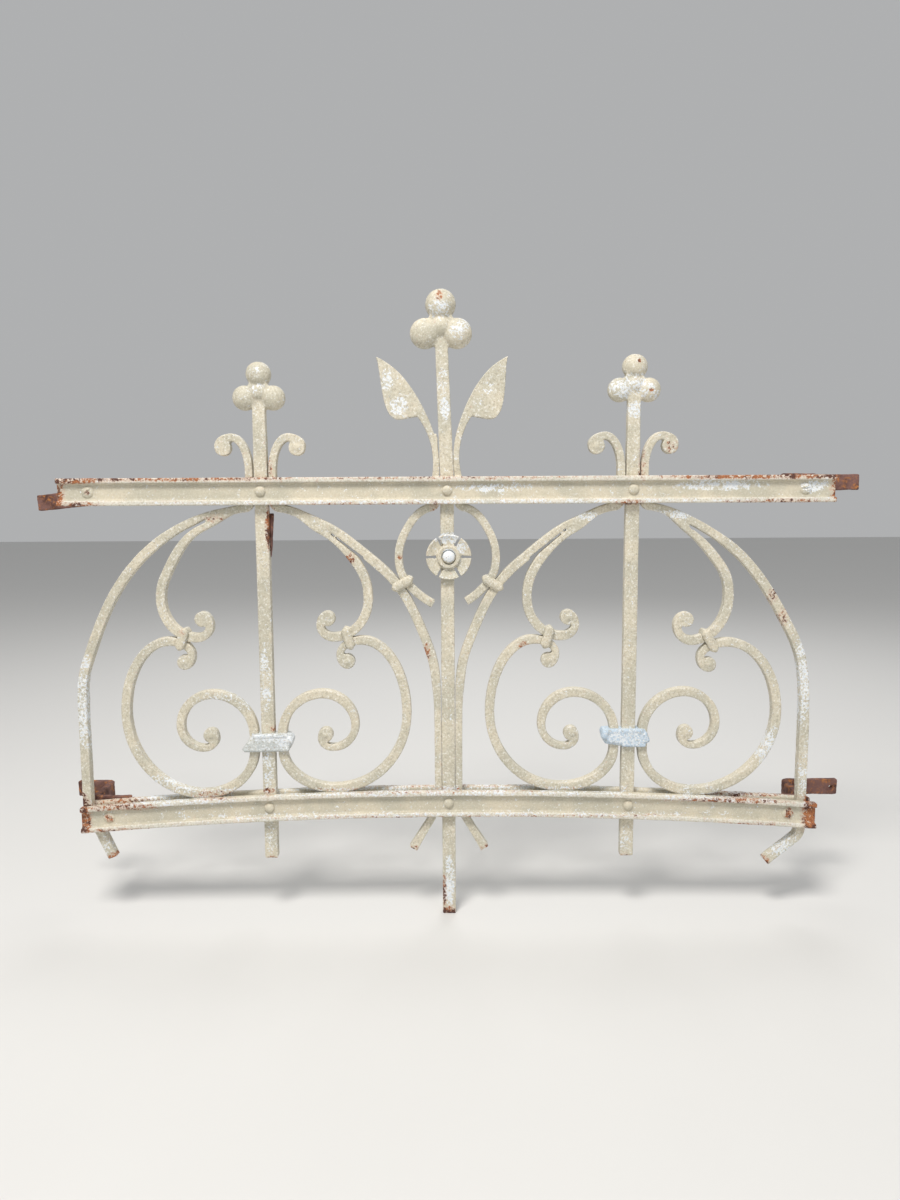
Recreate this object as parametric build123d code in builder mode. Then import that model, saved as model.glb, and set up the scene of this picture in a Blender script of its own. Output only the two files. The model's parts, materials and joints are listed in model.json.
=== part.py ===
# A wrought iron window grille, salvaged from its wall.
# Two rails, each of two moulded strips riveted through, clamp three upright bars.
# Arches, C-scrolls, hoops and a rosette fill the bays, and four tangs once held it in masonry.
# Lengths are millimetres. Across is +X, up is +Z and the front of the grille looks along -Y.
# The origin lies on the flat back of the top right tang, where the grille meets its wall.
import os
from math import cos, hypot, pi, radians, sin

from build123d import *

os.makedirs("parts", exist_ok=True)

# Rails. Heights are measured from the middle of the top rail
rail_height = 32.0
lip_height = 6.0
strip_depth = 9.0
web_depth = 4.0
top_rail_half = 454.5
bottom_rail_half = 447.0
bottom_rail_middle = -377.5
bottom_rail_rise = 18.0

# Upright bars
bar_pitch = 218.0
bar_width = 16.0
bar_depth = 12.0
bar_slack = 0.25
stem_width = 14.5
side_foot = -447.0
centre_foot = -520.0

# Finials
left_finial = 107.6
left_lobe = 14.2
left_lobe_spread = 16.2
left_lobe_lift = 26.9
right_finial = 114.7
right_lobe = 13.8
right_lobe_spread = 16.8
right_lobe_lift = 26.8
centre_finial = 179.5
centre_lobe = 17.2
centre_lobe_spread = 18.5
centre_lobe_lift = 32.5
centre_stem_lean = 6.0
lobe_dome = 10.0
lobe_rim = 4.0
heart_radius = 0.87
heart_lift = 0.36

# Arch bars, drawn from the axis of their side bar
arch_width = 11.0
crown_width = 9.5
landing_width = 8.5
elbow = 8.0
arch_crown = -20.0
arch_fall = (1.0, -0.15)
arch_spring = -291.0
left_outer_inset = 6.5
right_outer_inset = 16.0

# Places on each arch's back: the share of its span, and the height
left_outer_back = ((0.27, -32.5), (0.584, -72.0), (0.828, -138.0), (0.963, -204.0))
right_outer_back = ((0.273, -39.0), (0.571, -79.0), (0.8745, -162.0))
inner_back = ((0.192, -32.5), (0.317, -43.5), (0.5075, -70.0))
inner_neck = (0.8993, -166.0)

# Each leg's height, bend radius, bend in degrees and straight length
left_outer_leg = (-374.0, 38.0, 23.3, 61.6)
right_outer_leg = (-415.0, 14.0, 50.5, 47.0)
inner_leg = (-374.0, 38.0, 31.0, 50.5)

# Curl that stands on the top rail beside a side bar
curl_root_width = 9.0
curl_crown = (33.0, 62.5)
curl_side = (48.5, 52.0)
curl_eye = (43.0, 50.5)
curl_button = 9.5

# Branch that leaves the arch and ends in a volute
branch_root_width = 8.0
branch_from = (38.0, -24.5)
branch_fall = (1.0, -0.45)
left_outer_branch = ((60.0, -37.0), (80.0, -47.5), (113.0, -92.0), (123.0, -127.0))
right_outer_branch = ((60.0, -42.0), (80.0, -59.0), (102.0, -84.0), (117.0, -127.0))
inner_branch = ((60.0, -41.0), (78.0, -52.0), (109.0, -83.0), (123.5, -127.0))
branch_button = 9.2
# The lowest point, the return and the eye of each volute
volute = ((82.0, -173.5), (65.5, -158.5), (74.5, -151.0))
right_outer_volute = ((73.5, -180.0), (56.0, -161.0), (66.5, -154.5))

# C-scroll
scroll_width = 11.0
# The eye, the hook and the crown of each C-scroll, and its far side measured in from the arch
scroll_hook = ((97.5, -203.0), (88.5, -195.0), (115.0, -177.5))
right_outer_hook = ((95.0, -209.5), (85.0, -201.0), (117.0, -182.5))
left_outer_side = (52.0, -266.0)
right_outer_side = (34.0, -268.0)
inner_side = (37.5, -266.0)
scroll_low_across = 80.0
scroll_dip = 2.0
scroll_tie_low = -311.0
scroll_tie_high = -292.0
scroll_tie_gap = 3.7
spiral_crown = (66.5, -242.5)
spiral_side = (105.5, -281.0)
spiral_low = (78.0, -309.0)
spiral_return = (63.5, -297.0)
spiral_eye = (69.5, -293.0)
scroll_button = 9.0
volute_width = 7.0

# Hoops round the rosette, drawn from the centre bar's axis
hoop_width = 9.5
hoop_shoulder = (46.5, -43.0)
hoop_side = (57.7, -79.0)
hoop_elbow = (44.0, -113.5)
left_hoop_end = (17.0, -134.5)
right_hoop_end = (22.0, -131.5)

# Leaves on the top rail, drawn from the centre bar's axis
leaf_tip = (77.0, 154.0)
leaf_side = (71.0, 112.0)
leaf_heel = (56.0, 82.5)
leaf_sole = (43.0, 83.5)
leaf_notch = (31.5, 85.5)
leaf_stem = (19.0, 60.0)
leaf_neck = (10.8, 57.0)
leaf_throat = (25.5, 98.0)
leaf_back = (53.0, 138.0)
leaf_stem_width = 8.5
leaf_slack = 1.0
leaf_depth = 8.0

# Rosette
rosette_across = 1.5
rosette_up = -78.0
rosette_radius = 27.0
rosette_sheet = 3.0
rosette_cup = 4.0
rosette_ring = 13.8
ring_rise = 3.0
petal_count = 6
petal_slot = 4.0
petal_slot_from = 16.5
boss_radius = 8.0
boss_rise = 7.0

# Collars
collar_slack = 0.3
# Each branch collar's middle, its turn in degrees and its stretch
branch_collar = (99.0, -174.8, 17.6, 0.0)
right_outer_collar = (95.4, -180.3, 30.5, 3.2)
hoop_collar = (53.7, -109.7)
hoop_collar_turn = 60.6
small_collar_long = 28.6
small_collar_width = 12.0
small_collar_opening = 24.0
small_collar_wall = 3.5
tie_up = -301.5
tie_long = 62.0
tie_width = 21.0
tie_wall = 5.0

# Rivets and screws
rivet_head = 7.0
rivet_rise = 3.6
rivet_shank = 4.0
rivet_slack = 0.15
screw_head = 7.8
screw_rise = 2.6
screw_slot = 2.0
screw_slot_depth = 1.6
top_screw_inset = 35.5
bottom_screw_inset = 34.0

# Tangs
tang_height = 20.0
tang_thickness = 8.0
tang_bend = 7.0
tang_foot_height = 28.0
tang_foot_width = 36.0
tang_foot_corner = 4.0
tang_set_back = 60.0
# Each tang's leg beyond its screw, its reach beyond the leg, its lift and its tilt in degrees
top_left_tang = (21.0, 77.0, -3.7, 5.5)
top_right_tang = (21.0, 80.0, 8.0, 0.0)
bottom_left_tang = (27.0, 44.0, 8.0, 0.0)
bottom_right_tang = (27.0, 69.5, 4.0, 0.0)
nail_hole = 2.5
nail_hole_inset = 8.0

# Wedge driven in beside the left bar
wedge_width = 5.0
wedge_tip = 1.2
wedge_length = 52.0
wedge_depth = 6.0

grille_depth = 2 * strip_depth + bar_depth
tang_back = grille_depth + tang_set_back + tang_thickness
top_screw_across = top_rail_half - top_screw_inset
bottom_screw_across = bottom_rail_half - bottom_screw_inset
origin_across = top_screw_across + top_right_tang[0] + (tang_thickness / 2 + top_right_tang[1]) / 2
origin_up = top_right_tang[2]
left_outer_far = bottom_rail_half - bar_pitch - left_outer_inset
right_outer_far = bottom_rail_half - bar_pitch - right_outer_inset
inner_far = bar_pitch - bar_width / 2 - bar_slack - landing_width / 2
quarter_steps = 8


def face(depth, across=0, up=0, turn=0):
    """A plane parallel to the grille, this far behind the front of the rails, seen from the front."""
    return Plane(
        origin=(across - origin_across, depth - tang_back, up - origin_up),
        x_dir=(cos(radians(turn)), 0, sin(radians(turn))),
        z_dir=(0, -1, 0),
    )


bars_back = face(strip_depth + bar_depth)


def bottom_rail_at(across):
    """Height of the bottom rail's middle line at this place across."""
    return bottom_rail_middle - bottom_rail_rise * (across / bottom_rail_half) ** 2


def save(part, label):
    part.label = label
    export_step(part, f"parts/{label}.step")


# Curved bars
def quarters(turns, upright):
    """Points along a run of quarter ellipses that join these turning points."""
    points = [turns[0]]
    for (x0, z0), (x1, z1) in zip(turns, turns[1:]):
        for step in range(1, quarter_steps + 1):
            angle = pi / 2 * step / quarter_steps
            if upright:
                points.append((x1 + (x0 - x1) * cos(angle), z0 + (z1 - z0) * sin(angle)))
            else:
                points.append((x0 + (x1 - x0) * sin(angle), z1 + (z0 - z1) * cos(angle)))
        upright = not upright
    return points


def smooth(through, tangents):
    """Points along a smooth curve through a few places."""
    with BuildLine() as curve:
        Spline(*through, tangents=tangents)
    edge = curve.edges()[0]
    count = quarter_steps * 3
    return [((edge @ (step / count)).X, (edge @ (step / count)).Y) for step in range(count + 1)]


def leg(x, z, radius, bend, length):
    """Points of a leg that bends inwards from straight down, and then runs straight."""
    points = []
    for step in range(1, quarter_steps + 1):
        angle = radians(bend) * step / quarter_steps
        points.append((x - radius * (1 - cos(angle)), z - radius * sin(angle)))
    x, z = points[-1]
    for part in (length / 2, length):
        points.append((x - part * sin(radians(bend)), z - part * cos(radians(bend))))
    return points


def draw_bar(points, widths):
    """Outline a bar along these points, its width changing evenly through the widths given."""
    run = [0]
    for (x0, z0), (x1, z1) in zip(points, points[1:]):
        run.append(run[-1] + hypot(x1 - x0, z1 - z0))
    near, far = [], []
    for index, (x, z) in enumerate(points):
        place = run[index] / run[-1] * (len(widths) - 1)
        first = min(int(place), len(widths) - 2)
        half = (widths[first] + (widths[first + 1] - widths[first]) * (place - first)) / 2
        before = points[max(index - 1, 0)]
        after = points[min(index + 1, len(points) - 1)]
        along = Vector(after[0] - before[0], after[1] - before[1]).normalized()
        near.append((x - along.Y * half, z + along.X * half))
        far.append((x + along.Y * half, z - along.X * half))
    with BuildLine() as outline:
        Spline(*near)
        Line(near[-1], far[-1])
        Spline(*far)
        Line(far[0], near[0])
    make_face(outline.edges())


def mirrored(points, side, bar=0):
    """Points drawn from a bar's axis, on one side of that bar."""
    return [(bar + side * x, z) for x, z in points]


# Rails
def make_strip(label, half, middle, rise, is_front, screw_across):
    """One moulded strip: a web between two lips, with holes for its rivets and screws."""
    back = strip_depth if is_front else grille_depth
    recess = strip_depth - web_depth
    recess_back = recess if is_front else grille_depth

    def band(upper, lower):
        ends = (upper - rise, lower - rise)
        with BuildLine() as outline:
            if rise:
                ThreePointArc((-half, ends[0]), (0, upper), (half, ends[0]))
                ThreePointArc((-half, ends[1]), (0, lower), (half, ends[1]))
            else:
                Line((-half, upper), (half, upper))
                Line((-half, lower), (half, lower))
            Line((-half, ends[0]), (-half, ends[1]))
            Line((half, ends[0]), (half, ends[1]))
        make_face(outline.edges())

    with BuildPart() as strip:
        with BuildSketch(face(back)):
            band(middle + rail_height / 2, middle - rail_height / 2)
        extrude(amount=strip_depth)
        with BuildSketch(face(recess_back)):
            band(middle + rail_height / 2 - lip_height, middle - rail_height / 2 + lip_height)
        extrude(amount=recess, mode=Mode.SUBTRACT)
        holes = [(0, middle)]
        for across in (bar_pitch, screw_across):
            height = middle - rise * (across / half) ** 2
            holes += [(-across, height), (across, height)]
        with BuildSketch(face(back)):
            with Locations(*holes):
                Circle(rivet_shank + rivet_slack)
        extrude(amount=strip_depth, mode=Mode.SUBTRACT)
    save(strip.part, label)


for is_front, place in ((True, "front"), (False, "back")):
    make_strip(f"top_rail_{place}", top_rail_half, 0, 0, is_front, top_screw_across)
    make_strip(
        f"bottom_rail_{place}",
        bottom_rail_half,
        bottom_rail_middle,
        bottom_rail_rise,
        is_front,
        bottom_screw_across,
    )


# Upright bars and their finials
def make_bar(label, across, foot, finial, lobe, spread, lift, lean):
    """A bar from its sawn foot to a finial of three domed lobes."""
    tip = across - lean
    with BuildPart() as bar:
        with BuildSketch(bars_back):
            with BuildLine():
                Polyline(
                    (across - bar_width / 2, foot),
                    (across + bar_width / 2, foot),
                    (across + bar_width / 2, rail_height / 2),
                    (tip + stem_width / 2, finial),
                    (tip - stem_width / 2, finial),
                    (across - bar_width / 2, rail_height / 2),
                    close=True,
                )
            make_face()
            with Locations((tip, finial + heart_lift * lift)):
                Circle(heart_radius * lobe)
            with Locations((across, 0), (across, bottom_rail_at(across))):
                Circle(rivet_shank + rivet_slack, mode=Mode.SUBTRACT)
        extrude(amount=bar_depth)
        for x, z in ((tip - spread, finial), (tip + spread, finial), (tip, finial + lift)):
            centre = face(strip_depth + bar_depth / 2, x, z).origin
            with BuildSketch(Plane(origin=centre, x_dir=(0, 1, 0), z_dir=(1, 0, 0))):
                with BuildLine():
                    Line((-lobe_dome, 0), (lobe_dome, 0))
                    TangentArc((lobe_dome, 0), (lobe_rim, lobe), tangent=(0, 1))
                    Line((lobe_rim, lobe), (-lobe_rim, lobe))
                    TangentArc((-lobe_dome, 0), (-lobe_rim, lobe), tangent=(0, 1))
                make_face()
            revolve(axis=Axis(centre, (0, 1, 0)))
    save(bar.part, label)


left_head = (left_finial, left_lobe, left_lobe_spread, left_lobe_lift)
right_head = (right_finial, right_lobe, right_lobe_spread, right_lobe_lift)
centre_head = (centre_finial, centre_lobe, centre_lobe_spread, centre_lobe_lift)
make_bar("left_bar", -bar_pitch, side_foot, *left_head, 0)
make_bar("centre_bar", 0, centre_foot, *centre_head, centre_stem_lean)
make_bar("right_bar", bar_pitch, side_foot, *right_head, 0)


# Arches, each with its curl above the top rail, its branch and its bent leg
def make_arch(label, bar, side, far, back_line, leg_line, branch_line, volute_line, passes_hoop=False):
    """An arch bar that comes down on the line this far from its side bar."""
    root = bar_width / 2 + bar_slack + arch_width / 2
    curl = quarters([curl_side, curl_crown, (root, rail_height / 2 + elbow)], True)
    tail = [(root, 0), (root, arch_crown + elbow)]
    bend = quarters([tail[-1], (root + elbow, arch_crown)], True)[1:]

    def spanned(share, height):
        return bend[-1][0] + share * (far - bend[-1][0]), height

    through = [bend[-1]] + [spanned(*place) for place in back_line]
    landing = arch_width
    if passes_hoop:
        across, up = hoop_collar
        shift = arch_width / 2
        beside_hoop = (
            bar_pitch - across - shift * sin(radians(hoop_collar_turn)),
            up - shift * cos(radians(hoop_collar_turn)),
        )
        through += [beside_hoop, spanned(*inner_neck)]
        landing = landing_width
    through.append((far, arch_spring))
    back = smooth(through, (arch_fall, (0, -1)))[1:]
    leg_from = leg_line[0]
    foot = [(far, (arch_spring + leg_from) / 2), (far, leg_from)]
    path = curl + tail + bend + back + foot + leg(far, *leg_line)
    widths = [curl_root_width] * 4 + [crown_width] * 3 + [arch_width] * 7 + [landing] * 6 + [arch_width]
    low, turned_back, eye = volute_line
    eye_top = (eye[0], eye[1] + branch_button - volute_width / 2)
    run = smooth([branch_from, *branch_line], (branch_fall, (0, -1)))
    branch = run + quarters([branch_line[-1], low, turned_back, eye_top], True)[1:]
    branch_widths = [branch_root_width] * 2 + [arch_width] * 4 + [volute_width]
    with BuildPart() as arch:
        with BuildSketch(bars_back):
            draw_bar(mirrored(path, side, bar), widths)
            draw_bar(mirrored(branch, side, bar), branch_widths)
            with Locations(*mirrored([curl_eye], side, bar)):
                Circle(curl_button)
            with Locations(*mirrored([eye], side, bar)):
                Circle(branch_button)
        extrude(amount=bar_depth)
    save(arch.part, label)


left_outer = (left_outer_far, left_outer_back, left_outer_leg, left_outer_branch, volute)
right_outer = (right_outer_far, right_outer_back, right_outer_leg, right_outer_branch, right_outer_volute)
inner = (inner_far, inner_back, inner_leg, inner_branch, volute, True)
make_arch("left_outer_arch", -bar_pitch, -1, *left_outer)
make_arch("left_inner_arch", -bar_pitch, 1, *inner)
make_arch("right_inner_arch", bar_pitch, -1, *inner)
make_arch("right_outer_arch", bar_pitch, 1, *right_outer)


# C-scrolls, seated in the gap of the bottom rail
def make_scroll(label, bar, side, hook_line, far, side_line):
    scroll_eye, hook, scroll_crown = hook_line
    scroll_side = (far - side_line[0], side_line[1])
    rail_top = bottom_rail_at(bar + side * scroll_low_across) + rail_height / 2
    low = (scroll_low_across, rail_top - scroll_dip + scroll_width / 2)
    beside_bar = bar_width / 2 + scroll_tie_gap + scroll_width / 2
    tie_middle = (beside_bar, (scroll_tie_low + scroll_tie_high) / 2)
    hook_end = (scroll_eye[0], scroll_eye[1] - scroll_button + volute_width / 2)
    spiral_end = (spiral_eye[0], spiral_eye[1] + scroll_button - volute_width / 2)
    back = quarters([hook_end, hook, scroll_crown, scroll_side, low, (beside_bar, scroll_tie_low)], False)
    spiral = [(beside_bar, scroll_tie_high), spiral_crown, spiral_side, spiral_low, spiral_return, spiral_end]
    path = back + [tie_middle] + quarters(spiral, True)
    widths = [volute_width] + [scroll_width] * 9 + [volute_width + 2, volute_width]
    with BuildPart() as scroll:
        with BuildSketch(bars_back):
            draw_bar(mirrored(path, side, bar), widths)
            with Locations(*mirrored([scroll_eye, spiral_eye], side, bar)):
                Circle(scroll_button)
        extrude(amount=bar_depth)
    save(scroll.part, label)


make_scroll("left_outer_scroll", -bar_pitch, -1, scroll_hook, left_outer_far, left_outer_side)
make_scroll("left_inner_scroll", -bar_pitch, 1, scroll_hook, inner_far, inner_side)
make_scroll("right_inner_scroll", bar_pitch, -1, scroll_hook, inner_far, inner_side)
make_scroll("right_outer_scroll", bar_pitch, 1, right_outer_hook, right_outer_far, right_outer_side)


# Hoops round the rosette
def make_hoop(label, side, hoop_end):
    root = bar_width / 2 + bar_slack + hoop_width / 2
    start = [(root, 0), (root, arch_crown + elbow)]
    bend = quarters([start[-1], (root + elbow, arch_crown)], True)[1:]
    shoulder = smooth([bend[-1], hoop_shoulder, hoop_side], ((1, -0.3), (0, -1)))[1:]
    across, up = hoop_collar
    shift = hoop_width / 2 + collar_slack
    beside_arch = (
        across - shift * sin(radians(hoop_collar_turn)),
        up + shift * cos(radians(hoop_collar_turn)),
    )
    tail = smooth([hoop_side, beside_arch, hoop_elbow, hoop_end], ((0, -1), (-1, -0.6)))[1:]
    with BuildPart() as hoop:
        with BuildSketch(bars_back):
            draw_bar(mirrored(start + bend + shoulder + tail, side), [hoop_width, hoop_width])
        extrude(amount=bar_depth)
    save(hoop.part, label)


make_hoop("left_hoop", -1, left_hoop_end)
make_hoop("right_hoop", 1, right_hoop_end)


# Leaves
def make_leaf(label, side):
    """A leaf that stands in the top rail's gap and leans with the centre bar."""
    root = bar_width / 2 + leaf_slack

    def lean(point):
        x, z = point
        rise = max(z - rail_height / 2, 0) / (centre_finial - rail_height / 2)
        return side * x - centre_stem_lean * rise, z

    inner = [lean(p) for p in ((root, rail_height / 2), leaf_neck, leaf_throat, leaf_back, leaf_tip)]
    outer = [lean(p) for p in (leaf_tip, leaf_side, leaf_heel, leaf_sole, leaf_notch)]
    stem = [lean(p) for p in (leaf_notch, leaf_stem, (root + leaf_stem_width, rail_height / 2))]
    with BuildPart() as leaf:
        with BuildSketch(face(strip_depth + bar_depth / 2 + leaf_depth / 2)):
            with BuildLine():
                Spline(*inner)
                Spline(*outer)
                Spline(*stem)
                Line(stem[-1], inner[0])
            make_face()
        extrude(amount=leaf_depth)
        with BuildSketch(bars_back):
            with BuildLine():
                Polyline(stem[-1], (stem[-1][0], 0), (inner[0][0], 0), inner[0], close=True)
            make_face()
        extrude(amount=bar_depth)
    save(leaf.part, label)


make_leaf("left_leaf", -1)
make_leaf("right_leaf", 1)


# Rosette and its boss, on the front of the centre bar
rosette_face = face(strip_depth, rosette_across, rosette_up)
with BuildPart() as rosette:
    with BuildSketch(Plane(origin=rosette_face.origin, x_dir=(1, 0, 0), z_dir=(0, 0, 1))):
        with BuildLine():
            Line((0, 0), (rosette_ring, 0))
            TangentArc((rosette_ring, 0), (rosette_radius, -rosette_cup), tangent=(1, 0))
            Line((rosette_radius, -rosette_cup), (rosette_radius - 1, -rosette_cup - rosette_sheet))
            TangentArc(
                (rosette_ring, -rosette_sheet),
                (rosette_radius - 1, -rosette_cup - rosette_sheet),
                tangent=(1, 0),
            )
            Line((rosette_ring, -rosette_sheet), (rosette_ring - 1, -rosette_sheet - ring_rise))
            Line((rosette_ring - 1, -rosette_sheet - ring_rise), (boss_radius + 1, -rosette_sheet - ring_rise))
            Line((boss_radius + 1, -rosette_sheet - ring_rise), (boss_radius, -rosette_sheet))
            Line((boss_radius, -rosette_sheet), (0, -rosette_sheet))
            Line((0, -rosette_sheet), (0, 0))
        make_face()
    revolve(axis=Axis(rosette_face.origin, (0, 1, 0)))
    with BuildSketch(face(strip_depth, rosette_across, rosette_up)):
        with PolarLocations(petal_slot_from, petal_count):
            Circle(petal_slot / 2)
            with Locations((rosette_radius / 2, 0)):
                Rectangle(rosette_radius, petal_slot * 0.7)
    extrude(amount=strip_depth + rosette_cup + ring_rise, mode=Mode.SUBTRACT)
save(rosette.part, "rosette")

boss_face = face(strip_depth - rosette_sheet, rosette_across, rosette_up)
with BuildPart() as boss:
    with BuildSketch(Plane(origin=boss_face.origin, x_dir=(1, 0, 0), z_dir=(0, 0, 1))):
        with BuildLine():
            TangentArc((0, -boss_rise), (boss_radius - collar_slack, 0), tangent=(1, 0))
            Polyline((boss_radius - collar_slack, 0), (0, 0), (0, -boss_rise))
        make_face()
    revolve(axis=Axis(boss_face.origin, (0, 1, 0)))
save(boss.part, "rosette_boss")


# Collars
def make_collar(label, across, up, turn, long, width, opening, wall):
    """A band wrapped round bars that run side by side."""
    back = strip_depth + bar_depth
    with BuildPart() as collar:
        with BuildSketch(face(back + wall, across, up, turn)):
            Rectangle(width, long)
        extrude(amount=bar_depth + 2 * wall)
        fillet(collar.edges(), wall * 0.6)
        with BuildSketch(face(back, across, up, turn)):
            Rectangle(width * 2, opening)
        extrude(amount=bar_depth, mode=Mode.SUBTRACT)
    save(collar.part, label)


for label, bar, side, (across, up, turn, stretch) in (
    ("left_outer_collar", -bar_pitch, -1, branch_collar),
    ("left_inner_collar", -bar_pitch, 1, branch_collar),
    ("right_inner_collar", bar_pitch, -1, branch_collar),
    ("right_outer_collar", bar_pitch, 1, right_outer_collar),
):
    long, opening = small_collar_long + stretch, small_collar_opening + stretch
    place = (bar + side * across, up, side * turn)
    make_collar(label, *place, long, small_collar_width, opening, small_collar_wall)
for label, side in (("left_hoop_collar", -1), ("right_hoop_collar", 1)):
    across, up = hoop_collar
    sizes = (small_collar_long, small_collar_width, small_collar_opening, small_collar_wall)
    make_collar(label, side * across, up, side * hoop_collar_turn, *sizes)
tie_opening = bar_width + 2 * (scroll_tie_gap + scroll_width + collar_slack)
for label, bar in (("left_tie", -bar_pitch), ("right_tie", bar_pitch)):
    make_collar(label, bar, tie_up, 90, tie_long, tie_width, tie_opening, tie_wall)


# Rivets and screws
def turned(centre, profile):
    """A round piece turned about an axis that runs straight through the grille."""
    with BuildSketch(Plane(origin=centre, x_dir=(1, 0, 0), z_dir=(0, 0, 1))) as half_section:
        with BuildLine():
            profile()
        make_face()
    revolve(half_section.sketch, axis=Axis(centre, (0, 1, 0)))


def make_rivets(label, places):
    seat = strip_depth - web_depth

    def profile():
        front = (rivet_head, 0)
        back = (rivet_head, grille_depth - 2 * seat)
        Line((0, -rivet_rise), (0, back[1] + rivet_rise))
        TangentArc((0, -rivet_rise), front, tangent=(1, 0))
        Polyline(front, (rivet_shank, 0), (rivet_shank, back[1]), back)
        TangentArc((0, back[1] + rivet_rise), back, tangent=(1, 0))

    with BuildPart() as rivets:
        for across, up in places:
            turned(face(seat, across, up).origin, profile)
    save(rivets.part, label)


def make_screws(label, across, up, turns):
    """Slotted screws through a rail's ends into the feet of two tangs."""
    seat = strip_depth - web_depth
    length = grille_depth - seat + tang_thickness

    def profile():
        Line((0, -screw_rise), (0, length))
        TangentArc((0, -screw_rise), (screw_head, 0), tangent=(1, 0))
        Polyline((screw_head, 0), (rivet_shank, 0), (rivet_shank, length), (0, length))

    with BuildPart() as screws:
        for side, turn in zip((-1, 1), turns):
            turned(face(seat, side * across, up).origin, profile)
            with BuildSketch(face(seat - screw_rise + screw_slot_depth, side * across, up, turn)):
                Rectangle(screw_head * 2.2, screw_slot)
            extrude(amount=screw_rise, mode=Mode.SUBTRACT)
    save(screws.part, label)


make_rivets("top_rivets", [(across, 0) for across in (-bar_pitch, 0, bar_pitch)])
make_rivets("bottom_rivets", [(across, bottom_rail_at(across)) for across in (-bar_pitch, 0, bar_pitch)])
make_screws("top_screws", top_screw_across, 0, (38, 2))
make_screws("bottom_screws", bottom_screw_across, bottom_rail_at(bottom_screw_across), (-20, -55))


# Tangs
def make_tang(label, side, screw_across, screw_up, leg_out, reach_out, lift, tilt, has_nail_hole=False):
    """A flat bar with a spread foot behind the rail, bent back and then outwards to its flat end."""
    heel = screw_across - tang_foot_width / 2
    leg_across = screw_across + leg_out
    reach = leg_across + reach_out
    leg_front = grille_depth + tang_thickness / 2
    leg_back = tang_back - tang_thickness / 2
    hinge = face(0, side * screw_across, screw_up).origin
    with BuildPart() as tang:
        with BuildSketch(Plane(origin=face(0, 0, screw_up + lift - tang_height / 2).origin)):
            with BuildLine() as plan:
                FilletPolyline(
                    (side * heel, leg_front),
                    (side * leg_across, leg_front),
                    (side * leg_across, leg_back),
                    (side * reach, leg_back),
                    radius=tang_bend,
                )
            trace(line_width=tang_thickness)
        extrude(amount=tang_height)
        if tilt:
            tang.part = tang.part.rotate(Axis(hinge, (0, 1, 0)), side * tilt)
        with BuildSketch(face(grille_depth + tang_thickness, side * screw_across, screw_up)):
            RectangleRounded(tang_foot_width, tang_foot_height, tang_foot_corner)
        extrude(amount=tang_thickness)
        with BuildSketch(face(grille_depth + tang_thickness, side * screw_across, screw_up)):
            Circle(rivet_shank + rivet_slack)
        extrude(amount=tang_thickness, mode=Mode.SUBTRACT)
        if has_nail_hole:
            with BuildSketch(face(tang_back, side * (reach - nail_hole_inset), screw_up + lift)):
                Circle(nail_hole)
            extrude(amount=tang_thickness, mode=Mode.SUBTRACT)
    save(tang.part, label)


bottom_screw_up = bottom_rail_at(bottom_screw_across)
make_tang("top_left_tang", -1, top_screw_across, 0, *top_left_tang)
make_tang("top_right_tang", 1, top_screw_across, 0, *top_right_tang)
make_tang("bottom_left_tang", -1, bottom_screw_across, bottom_screw_up, *bottom_left_tang)
make_tang("bottom_right_tang", 1, bottom_screw_across, bottom_screw_up, *bottom_right_tang, has_nail_hole=True)

# Wedge beside the left bar, under the arch
with BuildPart() as wedge:
    bar_side = -bar_pitch + bar_width / 2
    wedge_top = arch_crown - arch_width / 2 - collar_slack
    with BuildSketch(bars_back):
        with BuildLine():
            Polyline(
                (bar_side, wedge_top),
                (bar_side + wedge_width, wedge_top),
                (bar_side + wedge_tip, wedge_top - wedge_length),
                (bar_side, wedge_top - wedge_length),
                close=True,
            )
        make_face()
    extrude(amount=wedge_depth)
save(wedge.part, "left_bar_wedge")
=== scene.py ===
import json
import math

import bmesh
import bpy
from mathutils import Matrix, Vector, noise


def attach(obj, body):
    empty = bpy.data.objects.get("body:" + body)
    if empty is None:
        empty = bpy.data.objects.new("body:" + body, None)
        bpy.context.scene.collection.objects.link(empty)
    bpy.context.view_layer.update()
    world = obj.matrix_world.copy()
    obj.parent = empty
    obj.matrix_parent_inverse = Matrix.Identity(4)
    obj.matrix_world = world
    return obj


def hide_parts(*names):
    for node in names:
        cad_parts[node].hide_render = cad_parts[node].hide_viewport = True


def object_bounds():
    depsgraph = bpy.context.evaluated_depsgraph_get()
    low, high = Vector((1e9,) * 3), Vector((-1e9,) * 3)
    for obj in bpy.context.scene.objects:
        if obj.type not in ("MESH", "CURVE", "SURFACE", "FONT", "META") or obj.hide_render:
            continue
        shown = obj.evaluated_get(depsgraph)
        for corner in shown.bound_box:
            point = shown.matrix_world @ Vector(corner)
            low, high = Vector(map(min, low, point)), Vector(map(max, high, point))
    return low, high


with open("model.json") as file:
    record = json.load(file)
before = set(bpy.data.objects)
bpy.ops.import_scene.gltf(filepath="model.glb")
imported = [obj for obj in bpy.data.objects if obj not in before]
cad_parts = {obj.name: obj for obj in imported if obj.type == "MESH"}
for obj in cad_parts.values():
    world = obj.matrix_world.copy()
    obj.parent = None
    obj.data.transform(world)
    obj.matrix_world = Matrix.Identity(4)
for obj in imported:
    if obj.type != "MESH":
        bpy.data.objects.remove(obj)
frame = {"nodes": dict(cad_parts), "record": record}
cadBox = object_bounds()
print("frame loaded:", len(frame["nodes"]), "nodes")

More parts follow.
